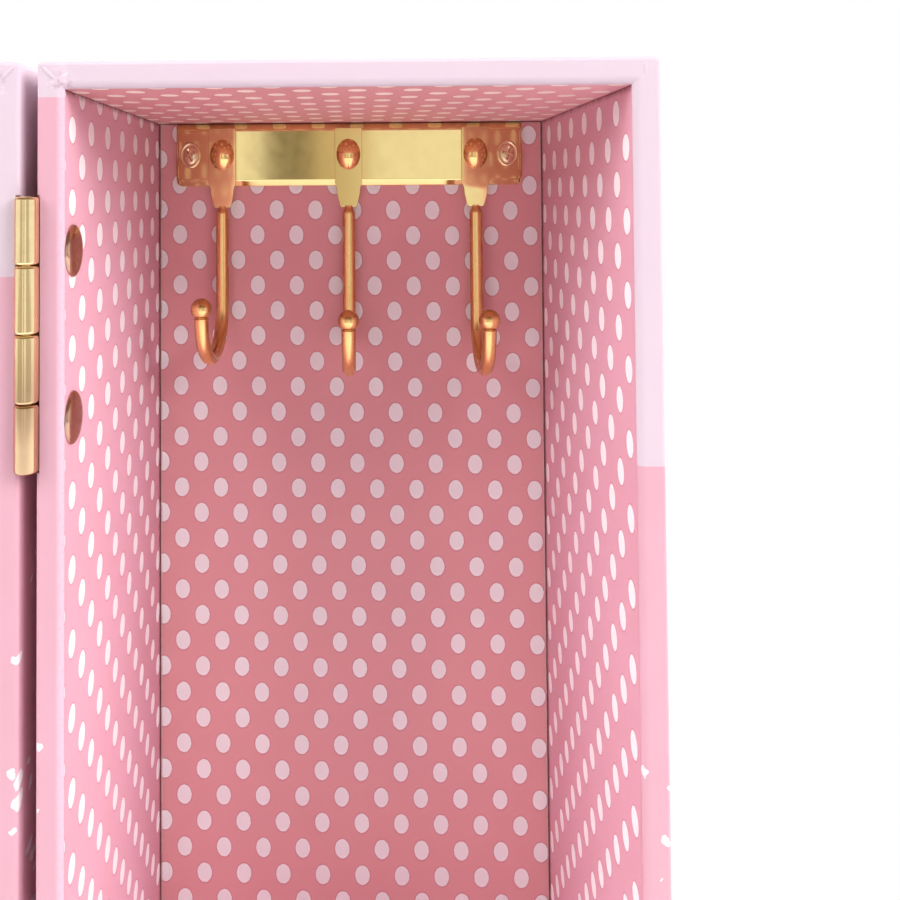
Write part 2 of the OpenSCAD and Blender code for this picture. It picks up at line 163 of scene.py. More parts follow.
# ---------------------------------------------------------------- mesh building
class Shape:
    """Vertices and faces gathered from several closed forms, in millimetres."""

    def __init__(self):
        self.verts, self.faces = [], []

    def loft(self, rings):
        """Joins rings of equal length, and closes the first and the last."""
        n, start = len(rings[0]), len(self.verts)
        for ring in rings:
            self.verts += [tuple(p) for p in ring]
        for k in range(len(rings) - 1):
            for i in range(n):
                j = (i + 1) % n
                a, b = start + k * n, start + (k + 1) * n
                self.faces.append((a + i, a + j, b + j, b + i))
        last = start + (len(rings) - 1) * n
        self.faces.append(tuple(start + i for i in reversed(range(n))))
        self.faces.append(tuple(last + i for i in range(n)))
        return self

    def slab(self, outline, low, high, place, bevel=0.2, steps=3):
        """A plate with rounded edges: place(u, v, w) puts a point of the outline at height w."""
        edge = [(bevel * (1 - math.sin(a)), low + bevel * (1 - math.cos(a)))
                for a in quarter(steps)]
        edge += [(bevel * (1 - math.cos(a)), high - bevel * (1 - math.sin(a)))
                 for a in quarter(steps)]
        return self.loft([[place(u, v, w) for u, v in inset(outline, i)] for i, w in edge])

    def turned(self, profile, place, steps=48):
        """A turned form: profile of (radius, height), place(u, v, w) with w the axis."""
        return self.loft([[place(u, v, height) for u, v in circle(radius, steps)]
                          for radius, height in profile])

    def rod(self, x, path, steps=32):
        """Circles along a path of (y, z, tangent angle, radius) in the plane at x."""
        rings = []
        for y, z, angle, radius in path:
            rings.append([(x + u, y - math.sin(angle) * v, z + math.cos(angle) * v)
                          for u, v in circle(radius, steps)])
        return self.loft(rings)

    def build(self, name, crease=32):
        """The finished object; edges sharper than crease, in degrees, stay sharp."""
        mesh = bpy.data.meshes.new(name)
        mesh.from_pydata([Vector(v) * MM for v in self.verts], [], self.faces)
        finish_mesh(mesh, crease)
        return shaded(bpy.data.objects.new(name, mesh))


def shaded(obj):
    """Links an object and keeps its flat faces flat beside their rounded edges."""
    bpy.context.scene.collection.objects.link(obj)
    mod = obj.modifiers.new("even_shading", "WEIGHTED_NORMAL")
    mod.keep_sharp, mod.weight = True, 80
    return obj


def finish_mesh(mesh, crease):
    """Joins what meets, turns the faces outwards and keeps edges over crease degrees sharp."""
    work = bmesh.new()
    work.from_mesh(mesh)
    bmesh.ops.remove_doubles(work, verts=work.verts, dist=1e-7)
    bmesh.ops.recalc_face_normals(work, faces=work.faces)
    work.to_mesh(mesh)
    work.free()
    mesh.polygons.foreach_set("use_smooth", [True] * len(mesh.polygons))
    mesh.set_sharp_from_angle(angle=math.radians(crease))
    mesh.update()


def dress(obj, material, body, slot, *nodes):
    """Gives a piece its material and body, and hides the CAD nodes that it stands for. slot is not
    used.
    """
    obj.data.materials.clear()
    obj.data.materials.append(material)
    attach(obj, body)
    if nodes:
        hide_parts(*nodes)
    return obj


def cut(obj, shape, crease=32):
    """Takes a closed shape away from an object's mesh."""
    tool = shape.build("cutter")
    obj.modifiers.clear()
    tool.modifiers.clear()
    mod = obj.modifiers.new("cut", "BOOLEAN")
    mod.operation, mod.solver, mod.object = "DIFFERENCE", "EXACT", tool
    graph = bpy.context.evaluated_depsgraph_get()
    mesh = bpy.data.meshes.new_from_object(obj.evaluated_get(graph))
    obj.modifiers.clear()
    old, obj.data = obj.data, mesh
    mesh.name = obj.name
    bpy.data.meshes.remove(old)
    bpy.data.objects.remove(tool)
    finish_mesh(mesh, crease)
    bpy.context.scene.collection.objects.unlink(obj)
    return shaded(obj)


def softened(node, name, bevel, crease=38):
    """A CAD node's own form as a new piece with its sharp edges rounded."""
    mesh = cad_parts[node].data.copy()
    mesh.name = name
    work = bmesh.new()
    work.from_mesh(mesh)
    bmesh.ops.remove_doubles(work, verts=work.verts, dist=1e-6)
    bmesh.ops.dissolve_limit(work, angle_limit=math.radians(0.5), verts=work.verts,
                             edges=work.edges)
    sharp = [e for e in work.edges
             if e.is_manifold and e.calc_face_angle() > math.radians(crease)]
    bmesh.ops.bevel(work, geom=sharp, offset=bevel * MM, offset_type="OFFSET", segments=2,
                    profile=0.5, affect="EDGES", clamp_overlap=True)
    work.to_mesh(mesh)
    work.free()
    finish_mesh(mesh, crease)
    return shaded(bpy.data.objects.new(name, mesh))


# ---------------------------------------------------------------- shader building
def colour(r, g, b):
    """A colour written in the usual 0 to 255 steps, as linear light."""
    out = []
    for c in (r, g, b):
        c /= 255
        out.append(c / 12.92 if c <= 0.04045 else ((c + 0.055) / 1.055) ** 2.4)
    return (*out, 1.0)


class Shader:
    """A material's node tree, with short ways to write sums and mixes."""

    def __init__(self, name, tree=None):
        if tree is None:
            self.material = bpy.data.materials.new(name)
            self.material.use_nodes = True
            tree = self.material.node_tree
        self.tree = tree
        tree.nodes.clear()

    def node(self, kind, **inputs):
        """A new node, with inputs named as in its panel."""
        n = self.tree.nodes.new(kind)
        for key, value in inputs.items():
            self.put(n.inputs[key.replace("_", " ")], value)
        return n

    def put(self, socket, value):
        """Links a socket to an input, or sets the input to a plain value."""
        if isinstance(value, bpy.types.NodeSocket):
            self.tree.links.new(value, socket)
        else:
            socket.default_value = value

    def sum(self, operation, *values):
        """Arithmetic with numbers."""
        n = self.tree.nodes.new("ShaderNodeMath")
        n.operation = operation
        for i, value in enumerate(values):
            self.put(n.inputs[i], value)
        return n.outputs[0]

    def times(self, first, *others):
        """The product of several numbers."""
        for other in others:
            first = self.sum("MULTIPLY", first, other)
        return first

    def length(self, a, b):
        """Length of a vector with the sides a and b."""
        return self.sum("SQRT", self.sum("ADD", self.times(a, a), self.times(b, b)))

    def vector(self, operation, *values):
        """Arithmetic with vectors."""
        n = self.tree.nodes.new("ShaderNodeVectorMath")
        n.operation = operation
        for i, value in enumerate(values):
            self.put(n.inputs[i], value)
        return n.outputs[0]

    def ramp(self, value, low, high, out_low=0.0, out_high=1.0, smooth=True):
        """out_low where value is at low, out_high at high, and between them in between."""
        n = self.tree.nodes.new("ShaderNodeMapRange")
        n.interpolation_type = "SMOOTHSTEP" if smooth else "LINEAR"
        for i, v in enumerate((value, low, high, out_low, out_high)):
            self.put(n.inputs[i], v)
        return n.outputs[0]

    def mix(self, factor, a, b):
        """Colour a, turned into b by factor."""
        n = self.tree.nodes.new("ShaderNodeMix")
        n.data_type = "RGBA"                       # its colours are inputs 6 and 7, and output 2
        self.put(n.inputs[0], factor)
        self.put(n.inputs[6], a)
        self.put(n.inputs[7], b)
        return n.outputs[2]

    def place(self):
        """Place in the part's own frame, in millimetres: vector, x, y, z."""
        coords = self.node("ShaderNodeTexCoord").outputs["Object"]
        place = self.vector("MULTIPLY", coords, (1 / MM, 1 / MM, 1 / MM))
        xyz = self.node("ShaderNodeSeparateXYZ", Vector=place)
        return place, xyz.outputs[0], xyz.outputs[1], xyz.outputs[2]

    def noise(self, vector, scale, detail=2.0, rough=0.5):
        """Cloudy noise about 0.5; scale in waves per millimetre."""
        n = self.node("ShaderNodeTexNoise", Vector=vector, Scale=scale, Detail=detail,
                      Roughness=rough)
        return n.outputs["Fac"]

    def bump(self, height, distance, strength=1.0, normal=None):
        """A normal raised by height times distance, in metres."""
        n = self.node("ShaderNodeBump", Height=height, Distance=distance, Strength=strength)
        if normal is not None:
            self.put(n.inputs["Normal"], normal)
        return n.outputs["Normal"]

    def finish(self, **inputs):
        """The material, with the Principled shader's inputs as given."""
        bsdf = self.tree.nodes.new("ShaderNodeBsdfPrincipled")
        for key, value in inputs.items():
            self.put(bsdf.inputs[key.replace("_", " ")], value)
        out = self.tree.nodes.new("ShaderNodeOutputMaterial")
        self.tree.links.new(bsdf.outputs[0], out.inputs[0])
        return self.material


# ---------------------------------------------------------------- materials
LILAC = colour(220, 200, 211)
PINK = colour(222, 167, 182)
FLECK = colour(236, 230, 232)
ROSE = colour(236, 166, 170)
# the back's rose with a painted cooler tint, for the light on the side walls
COOL_LIT_SIDE_ROSE = colour(232, 177, 195)
# the back's rose painted darker, for the shade under the ceiling
SHADED_CEILING_ROSE = colour(222, 156, 160)
DOT = colour(255, 249, 252)
# the line between lilac and pink, under the top: by the hinges, and by the clasp
LINE_DROP = {"right": 8.6, "left": 51.6}
LINE_DROP_FAR = 96.6
FLECKS_TOP = {"right": 205.0, "left": 222.0}     # height where the flecks have run out


def paper_grain(s, place):
    """Fine fibres and a slow swell of the pasted paper."""
    fibres = s.noise(place, 2.6, 3.0, 0.6)
    swell = s.noise(place, 0.09, 2.0, 0.5)
    fine = s.bump(fibres, 0.00001, 0.35)
    return s.bump(swell, 0.00035, 0.3, fine)


def wrap_paper(half):
    """Printed covering: lilac over pink, parted by low scallops, with pale flecks on the pink."""
    sign = HALVES[half][1]
    s = Shader(f"{half}_printed_wrap")
    place, x, y, z = s.place()
    across = s.times(x, sign)
    base = s.ramp(across, 20.0, 132.0, TOP_Z - LINE_DROP[half], TOP_Z - LINE_DROP_FAR)
    # the scallops begin behind the rim, so that the rims part on a level line
    away = s.ramp(y, RIM_Y + 3, RIM_Y + 22)
    run = s.sum("ADD", s.times(x, 0.115), s.times(y, 0.098))
    scallop = s.sum("ABSOLUTE", s.sum("SINE", run))
    wave = s.times(scallop, away, 11.0)
    above = s.sum("SUBTRACT", z, s.sum("ADD", base, wave))
    lilac = s.ramp(above, -0.12, 0.12)
    # pale flecks, denser low down
    warp = s.node("ShaderNodeTexNoise", Vector=place, Scale=0.35, Detail=2.0).outputs["Color"]
    ragged = s.vector("MULTIPLY_ADD", warp, (3.4, 3.4, 3.4), place)
    cells = s.node("ShaderNodeTexVoronoi", Vector=ragged, Scale=0.19, Randomness=1.0)
    seed = s.node("ShaderNodeSeparateColor", Color=cells.outputs["Color"])
    size = s.ramp(seed.outputs[0], 0.25, 1.0, 0.0, 0.36, smooth=False)
    top = FLECKS_TOP[half]
    size = s.sum("SUBTRACT", size, s.ramp(z, top - 60.0, top, 0.0, 0.3))
    fleck = s.ramp(s.sum("SUBTRACT", size, cells.outputs["Distance"]), -0.006, 0.006)
    fleck = s.times(fleck, s.sum("SUBTRACT", 1.0, lilac))
    # slow drift of the print
    drift = s.noise(place, 0.03, 2.0, 0.5)
    tone = s.mix(lilac, PINK, LILAC)
    tone = s.mix(s.ramp(drift, 0.3, 0.7, 0.0, 0.12), tone, colour(236, 190, 214))
    # painted shade: behind the rim the covering is painted a little deeper, most of all on the
    # clasp's side, to tone down its strongly lit outer walls
    outer_shade = s.times(s.ramp(y, RIM_Y + 0.4, RIM_Y + 1.8), s.ramp(across, 2.5, 6.0),
                     s.ramp(across, 147.0, 151.0, 0.15, 0.32))
    tone = s.mix(outer_shade, tone, colour(150, 105, 125))
    tone = s.mix(fleck, tone, FLECK)
    # on the rim, the hinge side of the mouth carries a mottled painted highlight along its rounded
    # edge, and its upper corner is creased and soiled
    rim = s.ramp(y, RIM_Y + 6.0, RIM_Y + 3.0)
    mouth = s.sum("SUBTRACT", INNER_X, across)
    lip_highlight_mottle = s.noise(place, 1.1, 4.0, 0.65)
    pale = s.times(s.ramp(mouth, 2.4, 1.1), s.ramp(mouth, -0.6, 0.2), rim,
                   s.ramp(lip_highlight_mottle, 0.3, 0.6, 0.35, 0.6))
    tone = s.mix(pale, tone, colour(244, 208, 224))
    apart = s.length(s.sum("ADD", mouth, -1.0), s.sum("SUBTRACT", z, CEILING_Z + 1.5))
    near = s.times(s.ramp(apart, 4.4, 0.8), rim)
    crumple = s.noise(place, 0.42, 4.0, 0.6)
    soiled = s.times(near, s.ramp(crumple, 0.51, 0.60, 0.0, 0.55))
    bare = s.times(near, s.ramp(crumple, 0.46, 0.40, 0.0, 0.7))
    tone = s.mix(soiled, tone, colour(182, 158, 166))
    tone = s.mix(bare, tone, colour(248, 240, 246))
    rough = s.ramp(s.noise(place, 0.5, 3.0), 0.2, 0.8, 0.42, 0.56)
    folded = s.bump(s.times(near, crumple), 0.0004, 0.5, paper_grain(s, place))
    return s.finish(Base_Color=tone, Roughness=rough, Normal=folded, Specular_IOR_Level=0.4)


def plain_paper(name, tone, deep):
    """Unprinted paper, mottled between two colours."""
    s = Shader(name)
    place = s.place()[0]
    mottle = s.noise(place, 0.2, 4.0, 0.6)
    base = s.mix(s.ramp(mottle, 0.25, 0.75), tone, deep)
    rough = s.ramp(s.noise(place, 0.6, 2.0), 0.2, 0.8, 0.5, 0.62)
    return s.finish(Base_Color=base, Roughness=rough, Normal=paper_grain(s, place))


def corner_shade(s, node, place, xyz):
    """How far a point lies in the pasted corner of a lining: (cut edge, dark fold with painted
    corner shade), 0 to 1. The one that the lining hasn't got is None."""
    low, high = span(node)
    ragged = s.noise(place, 0.35, 3.0, 0.6)
    if "back" in node:
        near = s.sum("MINIMUM", s.sum("SUBTRACT", xyz[X], low.x), s.sum("SUBTRACT", high.x, xyz[X]))
        return s.times(s.ramp(near, 0.5, 0.3), s.ramp(ragged, 0.42, 0.6, 0.25, 0.85)), None
    away = s.sum("SUBTRACT", BACK_Y, xyz[Y])
    if "top" not in node:
        away = s.sum("MINIMUM", away, s.times(s.sum("SUBTRACT", CEILING_Z, xyz[Z]), 1.6))
    away = s.sum("ADD", away, s.ramp(ragged, 0.3, 0.7, -0.5, 0.5))
    # a wide painted corner shade, and a narrow dark fold line at the joint
    wide, narrow = s.ramp(away, 3.0, 0.4, 0.0, 0.5), s.ramp(away, 0.9, 0.5, 0.0, 0.85)
    return None, s.sum("MAXIMUM", wide, narrow)


def dotted_lining(node, axes, origin, step, radius, skew=(0.0, 0.0)):
    """Rose paper with pale dots in staggered rows. All but skew are measured along the two axes;
    skew is how far the columns and the rows lean, in millimetres a millimetre from the middle."""
    s = Shader(node.replace("lining", "dots"))
    place, *xyz = s.place()
    low, high = span(node)
    off = [s.sum("SUBTRACT", xyz[a], (low[a] + high[a]) / 2) for a in axes]
    u, v = [s.sum("SUBTRACT", xyz[a], at) for a, at in zip(axes, origin)]
    u = s.sum("DIVIDE", s.sum("MULTIPLY_ADD", off[1], skew[0], u), step[0])
    v = s.sum("DIVIDE", s.sum("MULTIPLY_ADD", off[0], skew[1], v), step[1])
    # along the diagonals, dots are one unit apart both ways; reach is 1 on the edge of a dot
    a = s.times(s.sum("ADD", u, v), 0.5)
    b = s.times(s.sum("SUBTRACT", u, v), 0.5)
    a = s.sum("SUBTRACT", a, s.sum("ROUND", a))
    b = s.sum("SUBTRACT", b, s.sum("ROUND", b))
    reach = s.length(s.times(s.sum("ADD", a, b), step[0] / radius[0]),
                     s.times(s.sum("SUBTRACT", a, b), step[1] / radius[1]))
    wobble = s.noise(place, 0.9, 1.0)
    reach = s.sum("ADD", reach, s.ramp(wobble, 0.0, 1.0, -0.05, 0.05, smooth=False))
    dot = s.ramp(reach, 1.04, 0.96)
    drift = s.noise(place, 0.025, 2.0, 0.5)
    # the side and ceiling papers take painted lit and shaded copies of the back's rose
    rose = ROSE if "back" in node else SHADED_CEILING_ROSE if "top" in node else COOL_LIT_SIDE_ROSE
    ground = s.mix(s.ramp(drift, 0.3, 0.7, 0.0, 0.25), rose, colour(222, 158, 168))
    if "hinge" in node or "clasp" in node:         # painted shade: the side papers darken towards the back
        front, back = (0.0, 0.30) if "hinge" in node else (0.11, 0.20)
        deep = s.ramp(xyz[Y], BACK_Y - 50.0, BACK_Y, front, back)
        ground = s.mix(deep, ground, colour(150, 70, 82))
    # the ink gathers round each dot, which is a little greyer in its middle
    ground = s.mix(s.ramp(reach, 1.22, 1.0, 0.0, 0.45), ground, colour(188, 110, 126))
    ink = s.noise(place, 3.0, 2.0, 0.6)
    worn = s.times(s.ramp(reach, 0.9, 0.55), s.ramp(ink, 0.3, 0.75, 0.5, 1.0))
    pale = s.mix(worn, DOT, colour(252, 246, 249))
    if "top" in node:                              # painted warm reflection of the brass below on the dots, painted light on the ground to the right
        pale = s.mix(0.5, pale, colour(255, 226, 200))
        ground = s.mix(s.ramp(off[0], 15.0, 65.0, 0.0, 0.6), ground, colour(244, 186, 196))
    tone = s.mix(dot, ground, pale)
    # pale cut edges on the back paper; elsewhere a dark fold line with painted corner shade round
    # it
    cut_edge, fold_and_shade = corner_shade(s, node, place, xyz)
    if cut_edge is not None:
        tone = s.mix(cut_edge, tone, colour(226, 200, 196))
    else:
        tone = s.mix(fold_and_shade, tone, colour(122, 62, 66))
    rough = s.ramp(s.noise(place, 0.5, 3.0), 0.2, 0.8, 0.48, 0.60)
    grain = paper_grain(s, place)
    raised = s.bump(dot, 0.00002, 0.5, grain)
    return s.finish(Base_Color=tone, Roughness=rough, Normal=raised, Specular_IOR_Level=0.35)


# each metal's own colour and its tarnished one
YELLOW_BRASS = ((0.88, 0.69, 0.31, 1), (0.72, 0.50, 0.22, 1))
RED_BRASS = ((0.94, 0.64, 0.27, 1), (0.78, 0.46, 0.18, 1))
PALE_BRASS = ((0.95, 0.77, 0.43, 1), (0.80, 0.57, 0.30, 1))
DULL_BRASS = ((0.80, 0.58, 0.38, 1), (0.60, 0.40, 0.25, 1))
BRONZE = ((0.62, 0.42, 0.29, 1), (0.46, 0.29, 0.19, 1))
# the painted shade on the sides and tops of round pieces
SIDE_SHADE_TONE = (0.50, 0.25, 0.08, 1)


def brass(name, tones, rough, tarnish, grain_scale=(0.05, 0.8, 0.8), grain=0.3, normal=None,
          side_shade=0.0, worn=()):
    """Polished lacquered brass: a soft grain, small variations of gloss and a faint tarnish.
    The argument after normal is how far the sides and tops of round pieces are painted darker,
    a painted shade for the dim walls and ceiling that they reflect. worn lists the bottoms and
    tops of the stretches that are painted duller towards their bottom, as painted shade."""
    s = Shader(name)
    place, _, _, z = s.place()
    lines = s.noise(s.vector("MULTIPLY", place, grain_scale), 6.0, 2.0, 0.5)
    clouds = s.noise(place, 0.22, 3.0, 0.55)
    base = s.mix(s.ramp(clouds, 0.35, 0.75, 0.0, tarnish), *tones)
    # painted shade: sides and tops are darkened for the dim walls and ceiling that they reflect
    if side_shade:
        own = s.node("ShaderNodeTexCoord").outputs["Normal"]
        facing = s.node("ShaderNodeSeparateXYZ", Vector=own)
        flank = s.ramp(s.sum("ABSOLUTE", facing.outputs[0]), 0.50, 0.97)
        crown = s.ramp(facing.outputs[2], 0.05, 0.55)
        base = s.mix(s.times(s.sum("MAXIMUM", flank, crown), side_shade), base, SIDE_SHADE_TONE)
    # painted shade: each stretch is painted duller towards its bottom
    for low, high in worn:
        lower_shade = s.times(s.ramp(z, low - 2.0, low - 1.0),
                       s.ramp(z, (low + high) / 2 + 2.0, low + 10.0, 0.0, 0.85))
        base = s.mix(lower_shade, base, DULL_BRASS[1])
    gloss = s.ramp(clouds, 0.25, 0.75, rough - 0.02, rough + 0.02)
    way = normal(s) if normal else None
    return s.finish(Base_Color=base, Metallic=1.0, Roughness=gloss,
                    Normal=s.bump(lines, 0.000003, grain, way))


def sprung_ends(s):
    """The sheet's normal: a little downwards, and outwards beyond the outer hooks, where screws
    pull the rail back."""
    _, x, _, z = s.place()
    off = s.sum("SUBTRACT", x, RAIL_MID.x)
    lean = s.ramp(s.sum("ABSOLUTE", off), 36.5, 42.5, 0.0, 0.12)
    tongue = s.ramp(off, -20.0, 20.0, 1.0, 0.3)
    lean = s.times(lean, s.ramp(z, RAIL[0].z - 2.0, RAIL[0].z + 1.0, tongue, 1.0),
                   s.sum("SIGN", off))
    side = s.node("ShaderNodeCombineXYZ", X=lean, Z=-0.035)
    own = s.node("ShaderNodeNewGeometry").outputs["Normal"]
    return s.vector("NORMALIZE", s.vector("ADD", own, side.outputs[0]))


def greyboard():
    """Bare pulp board in a light rose: painted light that softens the dark seams between the
    linings, where it shows.
    """
    s = Shader("greyboard")
    place = s.place()[0]
    pulp = s.noise(place, 1.4, 5.0, 0.65)
    tone = s.mix(s.ramp(pulp, 0.3, 0.7), colour(196, 142, 138), colour(212, 160, 154))
    return s.finish(Base_Color=tone, Roughness=0.9, Normal=s.bump(pulp, 0.00006, 0.6))


# steps from dot to dot and radii of the dots, across and up
SIDE_STEP = (6.9, 8.97)
SIDE_DOT = (4.75 / 2, 6.55 / 2)
BACK_STEP = (6.9, 8.92)
BACK_DOT = (5.05 / 2, 6.65 / 2)
FLAT_STEP = (6.9, 6.9)
FLAT_DOT = (4.75 / 2, 4.75 / 2)
# node: the two axes, the middle of a dot, the steps between dots, their radii, how the rows lean
LININGS = {
    "right_back_lining": ((X, Z), (INNER_X + 14.49, CEILING_Z - 31.05), BACK_STEP, BACK_DOT,
                          (0.0061, 0.0096)),
    "right_hinge_lining": ((Y, Z), (BACK_Y - 3.24, CEILING_Z - 27.34), SIDE_STEP, SIDE_DOT),
    "right_clasp_lining": ((Y, Z), (BACK_Y - 10.58, CEILING_Z - 23.69), SIDE_STEP, SIDE_DOT),
    "right_top_lining": ((X, Y), (INNER_X + 14.88, BACK_Y - 2.0), FLAT_STEP, FLAT_DOT),
    "right_bottom_lining": ((X, Y), (INNER_X + 14.88, BACK_Y - 5.0), FLAT_STEP, FLAT_DOT),
    "left_back_lining": ((X, Z), (-INNER_X - 12.3, CEILING_Z - 31.8), SIDE_STEP, SIDE_DOT),
    "left_hinge_lining": ((Y, Z), (BACK_Y - 6.1, CEILING_Z - 30.0), SIDE_STEP, SIDE_DOT),
    "left_clasp_lining": ((Y, Z), (BACK_Y - 2.2, CEILING_Z - 25.5), SIDE_STEP, SIDE_DOT),
    "left_top_lining": ((X, Y), (-INNER_X - 12.3, BACK_Y - 3.5), FLAT_STEP, FLAT_DOT),
    "left_bottom_lining": ((X, Y), (-INNER_X - 12.3, BACK_Y - 1.0), FLAT_STEP, FLAT_DOT),
}
RAIL_BRASS = brass("rail_brass", YELLOW_BRASS, 0.09, 0.10, normal=sprung_ends)
HEAD_BRASS = brass("hook_head_brass", YELLOW_BRASS, 0.12, 0.15, (0.8, 0.8, 0.05),
                   normal=sprung_ends)
HOOK_BRASS = brass("hook_brass", RED_BRASS, 0.24, 0.15, (0.8, 0.8, 0.02), 0.1, side_shade=0.7)
STUD_BRASS = brass("stud_brass", RED_BRASS, 0.13, 0.25, (0.8, 0.8, 0.8), 0.1, side_shade=0.45)
SCREW_BRASS = brass("screw_brass", DULL_BRASS, 0.22, 0.3, (0.8, 0.8, 0.8), 0.1)
LEAVES = [span(f"{level}_hinge_right_leaf") for level in LEVELS]
# the hinges are painted duller towards the bottom of each leaf, as painted shade for dimmer
# reflections
HINGE_BRASS = brass("hinge_brass", PALE_BRASS, 0.15, 0.25, (0.8, 0.8, 0.05),
                    worn=[(low.z, high.z) for low, high in LEAVES])
CAP_BRASS = brass("cap_brass", BRONZE, 0.18, 0.60, (0.8, 0.8, 0.8))
CLASP_BRASS = brass("clasp_brass", YELLOW_BRASS, 0.20, 0.45, (0.8, 0.05, 0.8))
BOARD = greyboard()


def finish_node(node, material):
    """Gives its material to a CAD node that is shown as it is."""
    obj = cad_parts[node]
    obj.data.materials.clear()
    obj.data.materials.append(material)


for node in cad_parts:
    if node.endswith("_board"):
        finish_node(node, BOARD)
for node, print_facts in LININGS.items():
    finish_node(node, dotted_lining(node, *print_facts))
for node in ("upper_hinge_pin", "lower_hinge_pin", "clasp_pin"):
    finish_node(node, HINGE_BRASS)


# ---------------------------------------------------------------- the paper-covered cases
CORNER_R = 1.3                                   # corners, as seen from the front
EDGE_R = 1.0                                     # outer edges round the rim and the back
LIP_W, LIP_R = 2.0, 1.0                          # width and depth of the rounding into the mouth
MOUTH_IN = WALL - 0.06                           # wall at the mouth, clear of the linings
BASE_SHEET, BASE_INSET = 0.15, 2.5               # the base paper's thickness and distance inwards
FOLD_FOOT, FOLD_ROOT = 0.12, 0.3                 # how deep in the rim a fold's edges and root lie
FOLD_START, CLASP_FOLD = 0.9, 3.6                # from the outer walls: a fold's end, upright ones
RELIEF_R, RELIEF_END = 3.03, 0.3                 # hollow for the hinge's barrel, and past its ends


def mitre(shape, start, end, width, height):
    """A low ridge of folded paper on the rim, from start to end (x, z)."""
    a, b = Vector(start), Vector(end)
    along = (b - a).normalized()
    side = Vector((-along.y, along.x))
    rings = []
    for k in range(9):
        t = k / 8
        swell = max(0.06, math.sin(math.pi * t) ** 0.6)
        mid = a.lerp(b, t)
        ring = []
        for i in range(7):
            f = -1 + 2 * i / 6
            p = mid + side * (width / 2 * f * swell)
            rise = (height * swell + FOLD_FOOT) * math.cos(f * math.pi / 2) ** 0.8
            ring.append((p.x, RIM_Y + FOLD_FOOT - rise, p.y))
        ring.append((mid.x, RIM_Y + FOLD_ROOT, mid.y))
        rings.append(ring)
    shape.loft(rings)


def case_cover(half):
    """The covering of one half, its base paper and the folds on its rim."""
    low, high = WRAP[half]
    body, sign = HALVES[half]
    deep = high.y - low.y
    # (inwards from the outer wall, back from the rim): inner face, mouth, rim, outer wall, back
    profile = [(PAPER, deep - PAPER), (PAPER, PAPER), (MOUTH_IN - PAPER, PAPER),
               (MOUTH_IN - PAPER, TURN_IN), (MOUTH_IN, TURN_IN)]
    profile += [(MOUTH_IN - LIP_W + LIP_W * math.cos(a), LIP_R - LIP_R * math.sin(a))
                for a in quarter(8)]
    profile += [(EDGE_R - EDGE_R * math.sin(a), EDGE_R - EDGE_R * math.cos(a))
                for a in quarter(6)]
    profile += [(EDGE_R - EDGE_R * math.cos(a), deep - EDGE_R + EDGE_R * math.sin(a))
                for a in quarter(6)]
    rings = []
    for across, depth in profile:
        radius = max(0.16, CORNER_R - across)
        ring = rounded_box(low.x + across, high.x - across, low.z + BASE_SHEET + across,
                           high.z - across, radius)
        rings.append([(x, low.y + depth, z) for x, z in ring])
    obj = Shape().loft(rings).build(f"{half}_case_cover", crease=40)
    relief = Shape()
    for bottom, top in HINGE_PINS.values():
        centre = (bottom + top) / 2
        relief.turned([(RELIEF_R, bottom.z - RELIEF_END), (RELIEF_R, top.z + RELIEF_END)],
                      lambda u, v, w: (centre.x + u, centre.y + v, w))
    cut(obj, relief, 40)
    covering = wrap_paper(half)
    dress(obj, covering, body, "wrap_paper", f"{half}_wrap")
    outline = rounded_box(low.x + BASE_INSET, high.x - BASE_INSET,
                          low.y + BASE_INSET, high.y - BASE_INSET, 0.4, 3)
    sheet = Shape().slab(outline, low.z, low.z + BASE_SHEET + 0.05, lambda u, v, w: (u, v, w),
                         bevel=0.04, steps=1)
    dress(sheet.build(f"{half}_base_sheet"), PLAIN_PAPER, body, "wrap_paper",
          f"{half}_base_paper")
    # slanting folds by the hinges, and upright ones by the clasp
    folds = Shape()
    mouth = WALL - LIP_W
    hinge_x, clasp_x = (low.x, high.x) if sign > 0 else (high.x, low.x)
    for z, way in ((high.z, -1), (low.z + BASE_SHEET, 1)):
        mitre(folds, (hinge_x + sign * FOLD_START, z + way * FOLD_START),
              (hinge_x + sign * mouth, z + way * mouth), width=1.5, height=0.16)
        mitre(folds, (clasp_x - sign * CLASP_FOLD, z + way * FOLD_START),
              (clasp_x - sign * CLASP_FOLD, z + way * mouth), width=1.3, height=0.12)
    dress(folds.build(f"{half}_folded_corners"), covering, body, "wrap_paper")


PLAIN_PAPER = plain_paper("base_paper", colour(242, 196, 214), colour(236, 186, 206))
for half in HALVES:
    case_cover(half)


# ---------------------------------------------------------------- rail, hooks, rivets, screws
RAIL_LOW_R, RAIL_HIGH_R = 2.4, 1.0               # its lower and upper corners


def rail_piece():
    """The pressed rail: a flat face with sloping edges, and corners rounder below than above."""
    low, high = RAIL
    deep = high.y - low.y
    # (inset of the long edges, inset of the ends, height over the wall)
    steps = [(0.0, 0.0, 0.0), (0.0, 0.0, 0.75), (0.03, 0.03, 0.88), (0.10, 0.10, 0.97)]
    steps += [(0.26, 0.18, 1.09), (0.9, 0.30, 1.50), (1.35, 0.40, 1.80), (1.5, 0.46, 1.90),
              (1.68, 0.55, 2.01), (1.9, 0.75, 2.10), (2.2, 1.0, 2.17), (2.7, 1.5, deep)]
    rings = []
    for long_in, end_in, height in steps:
        below = max(0.7, RAIL_LOW_R - end_in)
        above = max(0.4, RAIL_HIGH_R - end_in)
        ring = rounded_box(low.x + end_in, high.x - end_in, low.z + long_in, high.z - long_in,
                           (below, below, above, above), 6)
        rings.append([(x, high.y - height, z) for x, z in ring])
    shape = Shape().loft(rings)
    return dress(shape.build("pressed_hook_rail", 24), RAIL_BRASS, "right_case", "brass",
                 "hook_rail")


